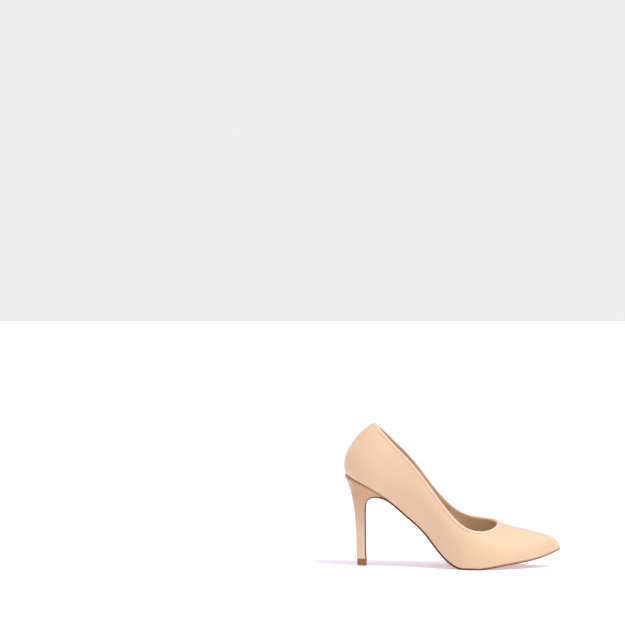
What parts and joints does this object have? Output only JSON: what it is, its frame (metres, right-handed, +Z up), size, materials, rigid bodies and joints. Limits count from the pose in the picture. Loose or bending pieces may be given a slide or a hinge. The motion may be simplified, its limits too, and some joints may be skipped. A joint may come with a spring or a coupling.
{
  "type": "high heel pump",
  "caption": "Pointed pump with closed toe, low-cut opening, covered stiletto heel about 9.5 cm high and a thin sole running down the heel breast; right shoe.",
  "frame": {"origin": "centre of the bounding box at floor level, under the standing shoe", "axes": "+X from the heel to the pointed toe, -Y the outer side of the right foot, +Z up from the floor"},
  "size_m": [0.2263, 0.0747, 0.1501],
  "materials": {
    "nude_leatherette": "matte",
    "edge_strip": "matte",
    "thread": "matte",
    "tape": "matte",
    "lining": "satin",
    "grip": "matte",
    "stiffener": "matte",
    "backing": "matte",
    "sock": "satin",
    "foam": "matte",
    "board": "matte",
    "steel": "brushed",
    "filler": "matte",
    "sole": "satin",
    "sole_edge": "satin",
    "heel_plastic": "matte",
    "tip": "satin"
  },
  "bodies": {
    "root": {"upper_main": "nude_leatherette", "upper_inner_quarter": "nude_leatherette", "topline_binding": "edge_strip", "topline_stitching": "thread", "topline_tape": "tape", "vamp_lining": "lining", "lining_quarter_outer": "lining", "lining_quarter_inner": "lining", "heel_grip": "grip", "toe_puff": "stiffener", "heel_counter": "stiffener", "side_backer_outer": "backing", "side_backer_inner": "backing", "insock": "sock", "insock_foam": "foam", "insole_board": "board", "shank_board": "board", "steel_shank": "steel", "shank_rivet": "steel", "forepart_filler": "filler", "outsole": "sole", "seat_rand": "sole_edge", "heel_core": "heel_plastic", "heel_cover": "nude_leatherette", "heel_stem_tube": "steel", "heel_tip": "tip", "heel_tip_pin": "steel", "heel_screw": "steel", "heel_nail": "steel"}
  },
  "joints": []
}
